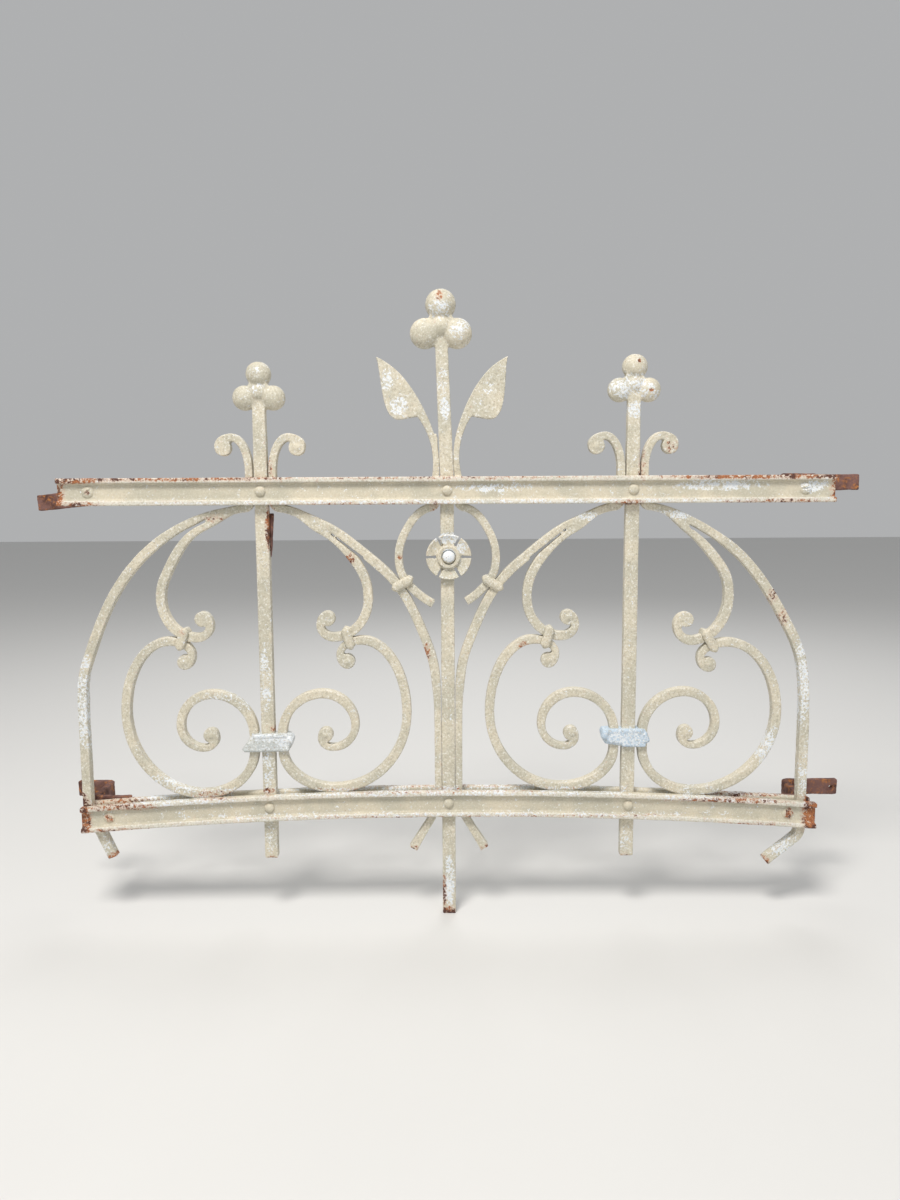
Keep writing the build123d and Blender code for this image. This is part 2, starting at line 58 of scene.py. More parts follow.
# The grille was measured in millimetres from the centre bar's axis, the top rail's middle
# and the front of the rail lips. The row's origin lies here in those numbers
originAcross, originDeep, originUp = 482.0, 98.0, 8.0
barMiddle = 15.0  # depth of the bars' middle, between the two strips of each rail
sideBarAcross = 218.0  # the two side bars stand this far to each side


def spot(across, up, deep=0.0):
    return Vector(((across - originAcross) / 1000, (deep - originDeep) / 1000, (up - originUp) / 1000))


# camera, from the rails, bars and rivets in the photograph
cameraSettings = {
    "across": -0.872,
    "back": 1053.707,
    "up": -3.356,
    "yaw": 0.003442,
    "pitch": 0.117963,
    "roll": -0.005422,
    "focalPixels": 901.0,
    "frameWidth": 900.0,
    "sensorWidth": 36.0,
    "nearest": 0.05,
    "farthest": 30.0,
}


def makeCamera(s):
    data = bpy.data.cameras.new("viewCamera")
    data.sensor_fit = "HORIZONTAL"
    data.sensor_width = s["sensorWidth"]
    data.lens = s["sensorWidth"] * s["focalPixels"] / s["frameWidth"]
    data.clip_start = s["nearest"]
    data.clip_end = s["farthest"]
    camera = bpy.data.objects.new("viewCamera", data)
    bpy.context.scene.collection.objects.link(camera)
    yaw, pitch, roll = s["yaw"], s["pitch"], s["roll"]
    ahead = Vector((math.sin(yaw) * math.cos(pitch), math.cos(yaw) * math.cos(pitch), -math.sin(pitch)))
    right = Vector((math.cos(yaw), -math.sin(yaw), 0.0))
    upward = right.cross(ahead)
    side = right * math.cos(roll) + upward * math.sin(roll)
    top = upward * math.cos(roll) - right * math.sin(roll)
    turn = Matrix((side, top, -ahead)).transposed().to_4x4()
    camera.matrix_world = Matrix.Translation(spot(s["across"], s["up"], -s["back"])) @ turn
    bpy.context.scene.camera = camera


makeCamera(cameraSettings)
print("camera placed")


# Nodes for the finishes
def newGroup(name, inputs, outputs):
    group = bpy.data.node_groups.new(name, "ShaderNodeTree")
    for label, kind in inputs:
        group.interface.new_socket(name=label, in_out="INPUT", socket_type=kind)
    for label, kind in outputs:
        group.interface.new_socket(name=label, in_out="OUTPUT", socket_type=kind)
    return group, group.nodes.new("NodeGroupInput"), group.nodes.new("NodeGroupOutput")


def noiseNode(tree, vector, scale, detail, rough, distortion):
    node = tree.nodes.new("ShaderNodeTexNoise")
    node.inputs["Scale"].default_value = scale
    node.inputs["Detail"].default_value = detail
    node.inputs["Roughness"].default_value = rough
    node.inputs["Distortion"].default_value = distortion
    tree.links.new(vector, node.inputs["Vector"])
    return node.outputs["Fac"]


def stepNode(tree, value, low, high):
    # 0 below the first level and 1 above the second, or the other way round where the first is higher
    node = tree.nodes.new("ShaderNodeMapRange")
    node.interpolation_type = "SMOOTHSTEP"
    node.inputs["From Min"].default_value = low
    node.inputs["From Max"].default_value = high
    tree.links.new(value, node.inputs["Value"])
    return node.outputs["Result"]


def mathNode(tree, operation, first, second):
    node = tree.nodes.new("ShaderNodeMath")
    node.operation = operation
    for socket, value in zip(node.inputs, (first, second)):
        if isinstance(value, (int, float)):
            socket.default_value = value
        else:
            tree.links.new(value, socket)
    return node.outputs["Value"]


def plus(tree, first, second):
    return mathNode(tree, "ADD", first, second)


def less(tree, first, second):
    return mathNode(tree, "SUBTRACT", first, second)


def times(tree, first, second):
    return mathNode(tree, "MULTIPLY", first, second)


def blendNode(tree, mask, first, second):
    node = tree.nodes.new("ShaderNodeMix")
    node.data_type = "RGBA"
    tree.links.new(mask, node.inputs["Factor"])
    # the Mix node's two colour inputs and its colour output are told apart only by number
    for socket, value in ((node.inputs[6], first), (node.inputs[7], second)):
        if isinstance(value, tuple):
            socket.default_value = (*value, 1.0)
        else:
            tree.links.new(value, socket)
    return node.outputs[2]


# Colours, each noise's scale, detail, roughness and distortion, how strongly each layer of wear shows,
# and the levels of its noise where it begins and where it is full
paintSettings = {
    "cream": (0.61, 0.555, 0.43),
    "grey": (0.50, 0.47, 0.37),
    "pore": (0.33, 0.30, 0.23),
    # pale chalk for flecks and scars, also the painted highlight along the edges
    "chalkAndHighlight": (0.86, 0.86, 0.83),
    "blue": (0.45, 0.59, 0.74),
    "frost": (0.68, 0.74, 0.81),
    # dark brown painted into the hollows, both grime and painted shade
    "grimeAndShade": (0.17, 0.13, 0.10),
    "pink": (0.56, 0.36, 0.27),
    "rustLight": (0.50, 0.20, 0.07),
    "rustMiddle": (0.27, 0.095, 0.045),
    "rustDark": (0.10, 0.042, 0.03),
    "broadNoise": (22.0, 4.0, 0.55, 0.0),
    "patchNoise": (85.0, 5.0, 0.62, 0.0),
    "raggedNoise": (290.0, 6.0, 0.70, 0.4),
    "scarNoise": (360.0, 5.0, 0.70, 0.0),
    "grainNoise": (420.0, 4.0, 0.64, 0.0),
    "pinholeNoise": (560.0, 2.0, 0.55, 0.0),
    "fineNoise": (950.0, 3.0, 0.60, 0.0),
    "greyLevels": (0.38, 0.62),
    "poreShare": 0.6,
    "poreLevels": (0.47, 0.34),
    "fleckShare": 0.6,
    "fleckLevels": (0.54, 0.68),
    "dustShare": 0.4,
    "dustLevels": (0.56, 0.68),
    "rubbedAndHighlightShare": 0.62,
    "rubbedAndHighlightEdge": (0.25, 0.70),
    "rubbedAndHighlightLevels": (0.36, 0.54),
    "blushShare": 0.5,
    "blushEdge": (0.35, 0.80),
    "blushLevels": (0.48, 0.60),
    "scarShare": 0.9,
    "scarByPatches": 0.45,
    "scarByMarks": 0.18,
    "scarLevels": (0.84, 0.89),
    "frostLevels": (0.44, 0.60),
    "grimeAndShadeShare": 0.55,
    "grimeAndShadeLevels": (0.30, 0.55),
    "pinholeShare": 0.85,
    "pinholeLevels": (0.715, 0.745),
    "rustByMarks": 0.27,
    "rustByEdge": 0.055,
    "bareLevels": (0.71, 0.76),
    "stainShare": 0.6,
    "stainLevels": (0.58, 0.74),
    "lightRustLevels": (0.44, 0.62),
    "darkRustLevels": (0.47, 0.57),
    "roughness": 0.52,
    "roughByGrain": 0.12,
    "roughByRust": 0.25,
    "grainHeight": 0.1,
    "speckleHeight": 0.8,
    "patchHeight": 0.7,
    "rustDepth": 0.5,
    "scarDepth": 0.25,
}


def makeAgedPaint(s):
    # Cream paint over iron: speckled, chalky in places, worn pale with a painted highlight and rusty along
    # its edges, with grime and painted shade in its hollows
    group, source, out = newGroup(
        "agedPaint",
        [
            ("Vector", "NodeSocketVector"),
            ("Edge", "NodeSocketFloat"),
            ("Rust", "NodeSocketFloat"),
            ("Chalk", "NodeSocketFloat"),
            ("Hollow", "NodeSocketFloat"),
            ("Cool", "NodeSocketFloat"),
            ("Speckle", "NodeSocketFloat"),
        ],
        [("Color", "NodeSocketColor"), ("Roughness", "NodeSocketFloat"), ("Height", "NodeSocketFloat")],
    )
    place = source.outputs["Vector"]
    edge = source.outputs["Edge"]
    speckle = source.outputs["Speckle"]
    broad = noiseNode(group, place, *s["broadNoise"])
    patches = noiseNode(group, place, *s["patchNoise"])
    ragged = noiseNode(group, place, *s["raggedNoise"])
    scars = noiseNode(group, place, *s["scarNoise"])
    grain = noiseNode(group, place, *s["grainNoise"])
    points = noiseNode(group, place, *s["pinholeNoise"])
    fine = noiseNode(group, place, *s["fineNoise"])
    color = blendNode(group, stepNode(group, broad, *s["greyLevels"]), s["cream"], s["grey"])
    color = blendNode(group, source.outputs["Cool"], color, s["blue"])
    # speckles: darker pores and lighter flecks of older paint
    pores = times(group, stepNode(group, grain, *s["poreLevels"]), times(group, speckle, s["poreShare"]))
    color = blendNode(group, pores, color, s["pore"])
    flecks = times(group, stepNode(group, grain, *s["fleckLevels"]), times(group, speckle, s["fleckShare"]))
    color = blendNode(group, flecks, color, s["chalkAndHighlight"])
    dust = times(group, stepNode(group, fine, *s["dustLevels"]), times(group, speckle, s["dustShare"]))
    color = blendNode(group, dust, color, s["chalkAndHighlight"])
    # edges rubbed pale and lit by a painted highlight along every convex edge, with a thin pink line of rust
    # beginning
    rubbedAndHighlight = times(group, stepNode(group, edge, *s["rubbedAndHighlightEdge"]), stepNode(group, grain, *s["rubbedAndHighlightLevels"]))
    color = blendNode(group, times(group, rubbedAndHighlight, s["rubbedAndHighlightShare"]), color, s["chalkAndHighlight"])
    blush = times(group, stepNode(group, edge, *s["blushEdge"]), stepNode(group, patches, *s["blushLevels"]))
    color = blendNode(group, times(group, blush, s["blushShare"]), color, s["pink"])
    # white and bluish scars where the top coat has gone
    scar = plus(group, scars, times(group, patches, s["scarByPatches"]))
    scar = plus(group, scar, times(group, source.outputs["Chalk"], s["scarByMarks"]))
    scar = stepNode(group, scar, *s["scarLevels"])
    scarColor = blendNode(group, stepNode(group, fine, *s["frostLevels"]), s["frost"], s["chalkAndHighlight"])
    color = blendNode(group, times(group, scar, s["scarShare"]), color, scarColor)
    # grime and painted shade in the hollows: concave places are darkened in patches
    dirtAndShade = times(group, source.outputs["Hollow"], stepNode(group, patches, *s["grimeAndShadeLevels"]))
    color = blendNode(group, times(group, dirtAndShade, s["grimeAndShadeShare"]), color, s["grimeAndShade"])
    # sparse pinholes of rust
    pinholes = stepNode(group, points, *s["pinholeLevels"])
    color = blendNode(group, times(group, pinholes, s["pinholeShare"]), color, s["rustMiddle"])
    # rust where paint has chipped: in the marked places and here and there along the edges
    drive = plus(group, ragged, times(group, source.outputs["Rust"], s["rustByMarks"]))
    drive = plus(group, drive, times(group, edge, s["rustByEdge"]))
    bare = stepNode(group, drive, *s["bareLevels"])
    stain = stepNode(group, drive, *s["stainLevels"])
    color = blendNode(group, times(group, stain, s["stainShare"]), color, s["pink"])
    rust = blendNode(group, stepNode(group, fine, *s["lightRustLevels"]), s["rustMiddle"], s["rustLight"])
    rust = blendNode(group, stepNode(group, patches, *s["darkRustLevels"]), rust, s["rustDark"])
    color = blendNode(group, bare, color, rust)
    rough = plus(group, times(group, bare, s["roughByRust"]), s["roughness"])
    rough = plus(group, rough, times(group, grain, s["roughByGrain"]))
    height = times(group, grain, plus(group, times(group, speckle, s["speckleHeight"]), s["grainHeight"]))
    height = plus(group, height, times(group, patches, s["patchHeight"]))
    height = less(group, height, times(group, bare, s["rustDepth"]))
    height = less(group, height, times(group, scar, s["scarDepth"]))
    group.links.new(color, out.inputs["Color"])
    group.links.new(rough, out.inputs["Roughness"])
    group.links.new(height, out.inputs["Height"])
    return group


rustSettings = {
    "dark": (0.085, 0.04, 0.032),
    "purple": (0.19, 0.10, 0.085),
    "orange": (0.42, 0.17, 0.055),
    "pale": (0.50, 0.41, 0.35),
    "broadNoise": (45.0, 5.0, 0.62, 0.3),
    "bloomNoise": (130.0, 6.0, 0.70, 0.5),
    "grainNoise": (420.0, 5.0, 0.65, 0.0),
    "purpleLevels": (0.38, 0.62),
    "orangeLevels": (0.50, 0.68),
    "scurfShare": 0.6,
    "scurfByEdge": 0.10,
    "scurfLevels": (0.66, 0.76),
    "roughness": 0.68,
    "roughByGrain": 0.25,
    "grainHeight": 0.8,
}


def makeBareRust(s):
    # Tang iron with its paint gone: purple brown scale, orange bloom and a little pale scurf
    group, source, out = newGroup(
        "bareRust",
        [("Vector", "NodeSocketVector"), ("Edge", "NodeSocketFloat")],
        [("Color", "NodeSocketColor"), ("Roughness", "NodeSocketFloat"), ("Height", "NodeSocketFloat")],
    )
    place = source.outputs["Vector"]
    broad = noiseNode(group, place, *s["broadNoise"])
    bloom = noiseNode(group, place, *s["bloomNoise"])
    grain = noiseNode(group, place, *s["grainNoise"])
    color = blendNode(group, stepNode(group, broad, *s["purpleLevels"]), s["dark"], s["purple"])
    color = blendNode(group, stepNode(group, bloom, *s["orangeLevels"]), color, s["orange"])
    scurf = plus(group, grain, times(group, source.outputs["Edge"], s["scurfByEdge"]))
    scurf = stepNode(group, scurf, *s["scurfLevels"])
    color = blendNode(group, times(group, scurf, s["scurfShare"]), color, s["pale"])
    rough = plus(group, times(group, grain, s["roughByGrain"]), s["roughness"])
    height = plus(group, times(group, grain, s["grainHeight"]), broad)
    group.links.new(color, out.inputs["Color"])
    group.links.new(rough, out.inputs["Roughness"])
    group.links.new(height, out.inputs["Height"])
    return group


agedPaint = makeAgedPaint(paintSettings)
bareRust = makeBareRust(rustSettings)

# The surface's own notes on each piece, by the socket that reads them
attributeNames = {"Edge": "edgeWearAndHighlight", "Rust": "rustPlace", "Chalk": "chalkPlace", "Hollow": "hollowPlace"}


def makeMaterial(name, s):
    material = bpy.data.materials.new(name)
    material.use_nodes = True
    tree = material.node_tree
    shader = tree.nodes["Principled BSDF"]
    shader.inputs["Specular IOR Level"].default_value = s["shine"]
    surface = tree.nodes.new("ShaderNodeGroup")
    surface.node_tree = s["group"]
    place = tree.nodes.new("ShaderNodeTexCoord")
    tree.links.new(place.outputs["Object"], surface.inputs["Vector"])
    for socket, layer in attributeNames.items():
        if socket in surface.inputs:
            attribute = tree.nodes.new("ShaderNodeAttribute")
            attribute.attribute_name = layer
            tree.links.new(attribute.outputs["Fac"], surface.inputs[socket])
    for socket, value in s["values"].items():
        surface.inputs[socket].default_value = value
    bump = tree.nodes.new("ShaderNodeBump")
    bump.inputs["Strength"].default_value = 1.0
    bump.inputs["Distance"].default_value = s["bumpHeight"]
    tree.links.new(surface.outputs["Height"], bump.inputs["Height"])
    tree.links.new(bump.outputs["Normal"], shader.inputs["Normal"])
    tree.links.new(surface.outputs["Color"], shader.inputs["Base Color"])
    tree.links.new(surface.outputs["Roughness"], shader.inputs["Roughness"])
    return material


# Each finish: its group and the values it is given, the height of its bumps in metres, and its shine
finishSettings = {
    "barPaint": {
        "group": agedPaint, "values": {"Cool": 0.0, "Speckle": 1.0}, "bumpHeight": 0.00035, "shine": 0.4,
    },
    "railPaint": {
        "group": agedPaint, "values": {"Cool": 0.0, "Speckle": 0.5}, "bumpHeight": 0.00025, "shine": 0.4,
    },
    "whitePaint": {
        "group": agedPaint, "values": {"Cool": 0.4, "Speckle": 1.3}, "bumpHeight": 0.0005, "shine": 0.4,
    },
    "bluishPaint": {
        "group": agedPaint, "values": {"Cool": 0.85, "Speckle": 1.0}, "bumpHeight": 0.0005, "shine": 0.4,
    },
    "tangRust": {"group": bareRust, "values": {}, "bumpHeight": 0.0008, "shine": 0.25},
}
finishes = {name: makeMaterial(name, s) for name, s in finishSettings.items()}
print("materials made")

# Marks on the paint: across, up, reach across and reach up, all in mm, and strength
rustMarks = {
    "topLipLeft": (-330, 15, 190, 4, 0.8),
    "topLipLeftEnd": (-430, 14, 40, 6, 0.9),
    "topLipMiddle": (0, 15, 240, 3, 0.5),
    "topLipRight": (370, 15, 160, 5, 0.85),
    "topLeftEnd": (-456, -2, 13, 26, 1.05),
    "topLeftUnder": (-430, -15, 34, 5, 0.75),
    "topRightEnd": (458, 0, 12, 28, 1.0),
    "topRightUnder": (385, -15, 75, 4, 0.7),
    "topUnderRightRivet": (214, -15, 22, 4, 0.72),
    "topUnderMiddle": (-90, -15, 110, 2.5, 0.55),
    "bottomLeftEnd": (-449, -392, 18, 36, 1.1),
    "bottomLeftLip": (-395, -379, 60, 6, 0.75),
    "bottomLeftUnder": (-390, -408, 60, 4, 0.8),
    "bottomLip": (-40, -361, 330, 3, 0.45),
    "bottomUnder": (20, -393, 330, 2.5, 0.45),
    "bottomRightEnd": (446, -394, 20, 34, 1.15),
    "bottomRightLip": (350, -375, 110, 5, 0.68),
    "bottomRightUnder": (330, -405, 90, 3, 0.7),
    "bottomLeftScrew": (-413, -393, 7, 7, 0.85),
    "bottomRightScrew": (414, -393, 7, 9, 1.0),
    "topLeftScrew": (-419, 0, 4, 4, 0.8),
    "leftArchWeld": (-272, -31, 18, 7, 0.6),
    "leftInnerWedge": (-207, -45, 9, 34, 1.1),
    "leftInnerBranch": (-115, -79, 7, 8, 0.9),
    "leftInnerArch": (-25, -192, 6, 14, 0.8),
    "rightArchUpper": (386, -127, 8, 12, 0.72),
    "rightArchLower": (399, -153, 8, 14, 0.66),
    "leftHoop": (-56, -78, 5, 4, 0.8),
    "leftHoopRoot": (-14, -20, 8, 9, 0.62),
    "rightCurl": (262, 49, 10, 9, 0.62),
    "leftScrollSeat": (-287, -366, 34, 6, 0.62),
    "leftCollar": (-316, -166, 6, 5, 0.55),
    "rightScrollHook": (90, -184, 9, 7, 0.8),
    "leftRootRight": (-206, 28, 4, 16, 0.62),
    "rightRoots": (228, 30, 6, 26, 0.6),
    "leftTieTop": (-211, -285, 5, 5, 0.9),
    "leftRivetTop": (-219, -362, 10, 5, 0.8),
    "leftLegEnd": (-412, -446, 9, 9, 1.1),
    "rightLegEnd": (389, -456, 8, 8, 0.9),
    "innerLegEndLeft": (-42, -437, 8, 6, 0.7),
    "innerLegEndRight": (44, -437, 8, 6, 0.7),
    "leftFoot": (-218, -448, 11, 5, 0.8),
    "rightFoot": (215, -448, 11, 5, 0.8),
    "middleFoot": (0, -520, 11, 12, 1.2),
    "middleFootSide": (-6, -490, 4, 26, 0.85),
    "middleTopBall": (-8, 220, 5, 9, 0.75),
    "rightTopBall": (222, 147, 3, 3, 1.1),
    "rightSideBall": (236, 114, 3, 3, 1.1),
}
chalkMarks = {
    "rightStem": (219, 92, 11, 12, 1.2),
    "rightLeftBall": (203, 116, 16, 14, 1.0),
    "rightRightBall": (235, 112, 13, 11, 0.75),
    "rightHeart": (219, 122, 16, 14, 0.95),
    "leftHeart": (-218, 118, 9, 9, 0.7),
    "leftBall": (-220, 138, 7, 6, 0.7),
    "leftLeafLow": (-56, 98, 12, 12, 1.0),
    "leftLeafHigh": (-69, 127, 10, 14, 0.9),
    "middleStem": (-2, 94, 7, 16, 1.0),
    "middleStemHigh": (-4, 125, 7, 18, 0.7),
    "middleRightBall": (15, 183, 14, 14, 0.8),
    "middleTopBall": (-8, 205, 16, 12, 0.7),
    "rightLeaf": (48, 118, 8, 8, 0.6),
    "topWebRight": (320, 5, 62, 8, 0.95),
    "topWebScrew": (430, 2, 20, 9, 1.0),
    "topWebMiddle": (60, 3, 60, 6, 0.75),
    "topLowerLip": (30, -13, 420, 3, 0.65),
    "leftBar": (-219, -225, 8, 50, 0.8),
    "leftBarLow": (-219, -330, 8, 40, 0.6),
    "middleFoot": (0, -478, 8, 40, 1.0),
    "leftFoot": (-218, -420, 8, 26, 0.7),
    "rightFoot": (216, -425, 8, 22, 0.6),
    "leftArch": (-438, -240, 12, 90, 0.8),
    "rightArch": (428, -230, 14, 70, 0.9),
    "rightArchLow": (434, -345, 10, 50, 0.7),
    "rightScroll": (388, -312, 20, 30, 0.9),
    "rightBranch": (262, -30, 30, 8, 0.9),
    "rightInnerArch": (168, -31, 18, 7, 1.1),
    "leftScrollLow": (-330, -350, 50, 20, 0.7),
    "leftSpiral": (-265, -250, 45, 16, 0.6),
    "bottomLip": (0, -362, 420, 6, 0.7),
    "bottomLipRight": (340, -372, 110, 7, 0.7),
    "bottomLipLeft": (-340, -372, 110, 7, 0.7),
    "bottomUnder": (0, -392, 420, 5, 0.55),
    "rightLeg": (412, -432, 26, 22, 0.9),
    "leftLeg": (-424, -430, 16, 24, 0.5),
    "rosetteTop": (1, -56, 18, 8, 1.2),
    "rosetteRight": (18, -66, 9, 10, 0.8),
    "boss": (1.5, -76, 9, 9, 1.9),
    "leftTieEnd": (-196, -299, 16, 10, 1.3),
    "leftTieTop": (-222, -294, 26, 5, 1.2),
    "rightTie": (216, -298, 34, 14, 0.8),
}


# Forged pieces
def newPiece(name, mesh):
    piece = bpy.data.objects.new(name, mesh)
    bpy.context.scene.collection.objects.link(piece)
    return piece


def pieceFromNode(node, name):
    mesh = frame["nodes"][node].data.copy()
    form = bmesh.new()
    form.from_mesh(mesh)
    bmesh.ops.remove_doubles(form, verts=form.verts, dist=0.00001)
    bmesh.ops.recalc_face_normals(form, faces=form.faces)
    form.to_mesh(mesh)
    form.free()
    mesh.materials.clear()
    return newPiece(name, mesh)


def pieceFromForm(form, name):
    mesh = bpy.data.meshes.new(name)
    form.to_mesh(mesh)
    form.free()
    return newPiece(name, mesh)


def addForm(piece, form):
    form.from_mesh(piece.data)
    form.to_mesh(piece.data)
    form.free()


def addSlab(form, outline, steps, middle):
    # An outline drawn out in depth: each step has its depth, and its width and height about the middle
    centre = Matrix.Translation(-spot(*middle))
    deep, wide, high = steps[0]
    end = form.faces.new([form.verts.new(spot(across, up, deep)) for across, up in outline])
    bmesh.ops.scale(form, verts=end.verts, vec=(wide, 1.0, high), space=centre)
    for nextDeep, nextWide, nextHigh in steps[1:]:
        drawn = bmesh.ops.extrude_face_region(form, geom=[end])["geom"]
        end = next(part for part in drawn if isinstance(part, bmesh.types.BMFace))
        bmesh.ops.translate(form, verts=end.verts, vec=(0.0, (nextDeep - deep) / 1000, 0.0))
        bmesh.ops.scale(form, verts=end.verts, vec=(nextWide / wide, 1.0, nextHigh / high), space=centre)
        deep, wide, high = nextDeep, nextWide, nextHigh
    bmesh.ops.recalc_face_normals(form, faces=form.faces)


def fuse(piece, voxel):
    # One skin over everything in the piece, as hammered and painted iron has
    remesh = piece.modifiers.new("skin", "REMESH")
    remesh.mode = "VOXEL"
    remesh.voxel_size = voxel * 1.0
    bpy.context.view_layer.update()
    seen = piece.evaluated_get(bpy.context.evaluated_depsgraph_get())
    mesh = bpy.data.meshes.new_from_object(seen)
    piece.modifiers.clear()
    piece.data = mesh


def marksNear(marks, piece):
    # Only the marks that reach this piece's box
    corners = [Vector(c) for c in piece.bound_box]
    left = min(c.x for c in corners) * 1000 + originAcross
    right = max(c.x for c in corners) * 1000 + originAcross
    bottom = min(c.z for c in corners) * 1000 + originUp
    top = max(c.z for c in corners) * 1000 + originUp
    return [
        (across, up, wide, high, strength)
        for across, up, wide, high, strength in marks.values()
        if left - wide < across < right + wide and bottom - high < up < top + high
    ]


def markAt(marks, across, up):
    most = 0.0
    for middle, level, wide, high, strength in marks:
        away = ((across - middle) / wide) ** 2 + ((up - level) / high) ** 2
        if away < 1.0:
            most = max(most, strength * (1 - away * away))
    return most


weatherSettings = {
    "softness": 0.5,  # how far each round of smoothing goes
    "edgeGain": 2.4,
    "hollowGain": 3.0,
    "lipFrom": 13.6,  # mm from the bars' middle, past which a rail's face is on its raised lips
    "dentScale": 60.0,
    "rippleScale": 240.0,
}


def weather(piece, s):
    # Soften the corners, add hammer dents, and note where edges are worn and take a painted highlight, where
    # hollows take painted shade, and where marks lie
    w = weatherSettings
    rust, chalkAndHighlight = marksNear(rustMarks, piece), marksNear(chalkMarks, piece)
    form = bmesh.new()
    form.from_mesh(piece.data)
    for turn in range(s["rounds"]):
        bmesh.ops.smooth_vert(
            form, verts=form.verts, factor=w["softness"], use_axis_x=True, use_axis_y=True, use_axis_z=True
        )
    form.normal_update()
    edgeLayer = form.verts.layers.float.new("edgeWearAndHighlight")
    hollowLayer = form.verts.layers.float.new("hollowPlace")
    rustLayer = form.verts.layers.float.new("rustPlace")
    chalkLayer = form.verts.layers.float.new("chalkPlace")
    for vert in form.verts:
        ways = [(edge.other_vert(vert).co - vert.co).normalized() for edge in vert.link_edges]
        bend = sum(way.dot(vert.normal) for way in ways) / max(1, len(ways))
        across = vert.co.x * 1000 + originAcross
        up = vert.co.z * 1000 + originUp
        onLip = abs(vert.co.y * 1000 + originDeep - barMiddle) > w["lipFrom"]
        # convex edges get both wear and a painted highlight
        wearAndHighlight = max(0.0, min(1.0, -w["edgeGain"] * bend))
        vert[edgeLayer] = max(wearAndHighlight, s["lip"]) if onLip else wearAndHighlight
        vert[hollowLayer] = max(0.0, min(1.0, w["hollowGain"] * bend))
        vert[rustLayer] = markAt(rust, across, up)
        vert[chalkLayer] = markAt(chalkAndHighlight, across, up)
    for vert in form.verts:
        push = noise.noise(vert.co * w["dentScale"]) * s["dent"]
        push += noise.noise(vert.co * w["rippleScale"]) * s["ripple"]
        vert.co += vert.normal * push
    for face in form.faces:
        face.smooth = True
    form.to_mesh(piece.data)
    form.free()


collarSettings = {
    "belly": 0.0018,  # how far its front and back swell, in metres
    "narrowing": 0.5,  # share of its width and of its depth that its very ends lose
    "thinning": 0.25,
    "rounding": 0.16,  # share of its length that its corners lose
    "sharpness": 9,  # a higher power keeps the drawing in closer to the ends
}


def swell(piece, s):
    # A collar beaten round its bars: its ends draw in and its front and back swell
    form = bmesh.new()
    form.from_mesh(piece.data)
    centre = sum((vert.co for vert in form.verts), Vector()) / len(form.verts)
    spreadX = sum((vert.co.x - centre.x) ** 2 for vert in form.verts)
    spreadZ = sum((vert.co.z - centre.z) ** 2 for vert in form.verts)
    mixed = sum((vert.co.x - centre.x) * (vert.co.z - centre.z) for vert in form.verts)
    angle = 0.5 * math.atan2(2 * mixed, spreadX - spreadZ)
    along = Vector((math.cos(angle), 0.0, math.sin(angle)))
    over = Vector((-math.sin(angle), 0.0, math.cos(angle)))
    length = max(abs((vert.co - centre).dot(along)) for vert in form.verts)
    width = max(abs((vert.co - centre).dot(over)) for vert in form.verts)
    thick = max(abs(vert.co.y - centre.y) for vert in form.verts)
    for vert in form.verts:
        away = vert.co - centre
        nearEnd = abs(away.dot(along) / length) ** s["sharpness"]
        aside = away.dot(over) / width
        deep = away.y / thick
        vert.co -= over * away.dot(over) * s["narrowing"] * nearEnd
        vert.co -= along * away.dot(along) * s["rounding"] * aside * aside
        vert.co.y += s["belly"] * deep * abs(deep) * (1 - aside * aside)
        vert.co.y -= away.y * s["thinning"] * nearEnd
    form.to_mesh(piece.data)
    form.free()


finialSettings = {
    "left_bar": {"across": -218.0, "up": 107.6, "ball": 14.5, "spread": 16.2, "lift": 26.9, "topShift": 0.5},
    "centre_bar": {"across": -6.0, "up": 179.5, "ball": 17.5, "spread": 18.5, "lift": 32.5, "topShift": -0.5},
    "right_bar": {"across": 218.0, "up": 114.7, "ball": 14.1, "spread": 16.8, "lift": 26.8, "topShift": 1.6},
}
# The knot where the balls meet: its height as a share of the lift, and its size as a share of a ball
knotSettings = {"lift": 0.24, "size": 0.78, "flat": 0.86}
topFlat, sideFlat = 0.80, 0.74  # depth of a hammered ball as a share of its width


def addFinial(piece, s, knot):
    # Three balls a little flattened by the hammer, and the fleshy knot where they meet
    form = bmesh.new()
    for across, up, size, flat in (
        (s["across"] + s["topShift"], s["up"] + s["lift"], 1.0, topFlat),
        (s["across"] - s["spread"], s["up"], 1.0, sideFlat),
        (s["across"] + s["spread"], s["up"], 1.0, sideFlat),
        (s["across"], s["up"] + s["lift"] * knot["lift"], knot["size"], knot["flat"]),
    ):
        radius = s["ball"] * size / 1000
        ball = bmesh.ops.create_uvsphere(form, u_segments=40, v_segments=24, radius=radius)["verts"]
        bmesh.ops.scale(form, verts=ball, vec=(1.0, flat, 1.0))
        bmesh.ops.translate(form, verts=ball, vec=spot(across, up, barMiddle))
    addForm(piece, form)


# Where each curled bar ends in a button: across from its side bar, up, and radius, in mm
buttonPlaces = {
    "outer_arch": {"curl": (43.0, 50.5, 8.6), "volute": (74.5, -151.0, 8.3)},
    "right_outer_arch": {"curl": (43.0, 50.5, 8.6), "volute": (66.5, -154.5, 8.3)},
    "inner_arch": {"curl": (43.0, 50.5, 8.6), "volute": (74.5, -151.0, 8.3)},
    "outer_scroll": {"hook": (97.5, -203.0, 8.1), "spiral": (69.5, -293.0, 8.1)},
    "right_outer_scroll": {"hook": (95.0, -209.5, 8.1), "spiral": (69.5, -293.0, 8.1)},
    "inner_scroll": {"hook": (97.5, -203.0, 8.1), "spiral": (69.5, -293.0, 8.1)},
}
buttonDome = 0.0016  # how far a button's dome stands out of the bar, in metres


